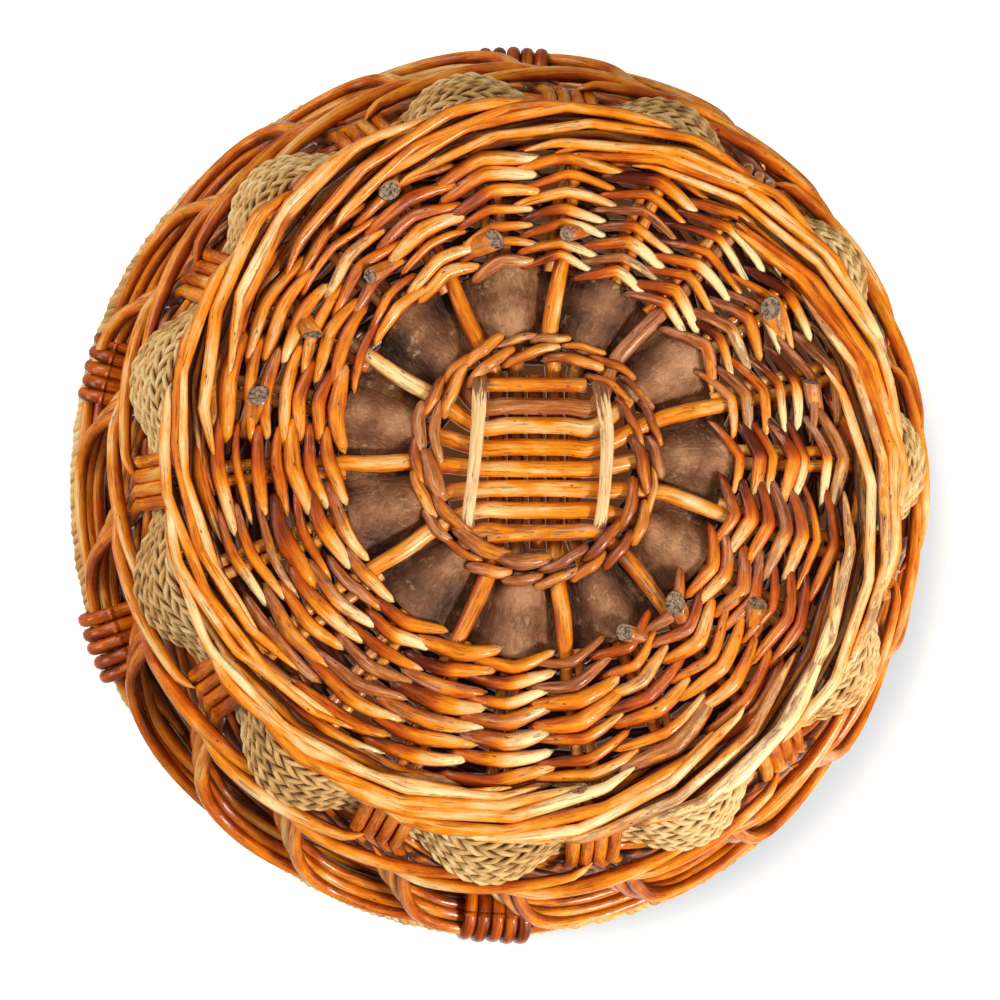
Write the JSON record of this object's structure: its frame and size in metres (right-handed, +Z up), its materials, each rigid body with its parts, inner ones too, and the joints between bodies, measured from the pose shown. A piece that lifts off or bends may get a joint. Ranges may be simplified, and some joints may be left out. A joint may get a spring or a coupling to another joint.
{
  "type": "wicker onion basket",
  "caption": "Round open wicker basket with a woven base, a bark band round its middle, a plaited band on the side and stakes that lean over into arches up to a roped rim.",
  "frame": {"origin": "on the ground, under the middle of the basket", "axes": "+Z up out of the mouth; the eight visible rods in the middle of the base lie along X"},
  "size_m": [0.3758, 0.3825, 0.1433],
  "materials": {
    "willow": "orange varnished willow rod with brown stains and a soft gloss",
    "stained_willow": "dark red-brown varnished willow rod, glossy",
    "brown_willow": "pinkish brown varnished willow with the bark left on",
    "peeled_splint": "pale peeled wood with flecks of brown bark",
    "bark": "dark brown bark, rough and finely cracked",
    "seagrass": "dry khaki seagrass, twisted and plaited, matt"
  },
  "bodies": {
    "root": {"stick_across_1": "willow", "stick_across_2": "willow", "stick_across_3": "willow", "stick_across_4": "willow", "stick_across_5": "willow", "stick_across_6": "willow", "stick_across_7": "willow", "stick_along_1": "willow", "stick_along_2": "willow", "stick_along_3": "willow", "stick_along_4": "willow", "short_rod_across": "brown_willow", "short_rod_along": "brown_willow", "splint_left": "peeled_splint", "splint_right": "peeled_splint", "inner_pairing_under": "willow", "inner_pairing_over": "willow", "bark_band": "bark", "base_weaver_row_1": "willow", "base_weaver_row_2": "willow", "base_weaver_row_3": "willow", "base_weaver_row_4": "willow", "base_weaver_row_5": "willow", "base_weaver_row_6": "willow", "base_weaver_row_7": "willow", "foot_border": "willow", "side_stakes_01": "stained_willow", "side_stakes_02": "stained_willow", "side_stakes_03": "stained_willow", "side_stakes_04": "stained_willow", "side_stakes_05": "stained_willow", "side_stakes_06": "stained_willow", "side_stakes_07": "stained_willow", "side_stakes_08": "stained_willow", "side_stakes_09": "stained_willow", "side_stakes_10": "stained_willow", "side_stakes_11": "stained_willow", "side_stakes_12": "stained_willow", "side_stakes_13": "stained_willow", "side_stakes_14": "stained_willow", "side_stakes_15": "stained_willow", "side_stakes_16": "stained_willow", "side_stakes_17": "stained_willow", "side_stakes_18": "stained_willow", "side_stakes_19": "stained_willow", "side_stakes_20": "stained_willow", "side_stakes_21": "stained_willow", "side_stakes_22": "stained_willow", "seagrass_braid": "seagrass", "waling_rod_1": "willow", "waling_rod_2": "willow", "rim_hoop_inner": "willow", "rim_hoop_outer": "willow", "rim_rope": "seagrass", "rim_lashing_1": "stained_willow", "rim_lashing_2": "stained_willow", "rim_lashing_3": "stained_willow", "rim_lashing_4": "stained_willow"}
  },
  "joints": []
}
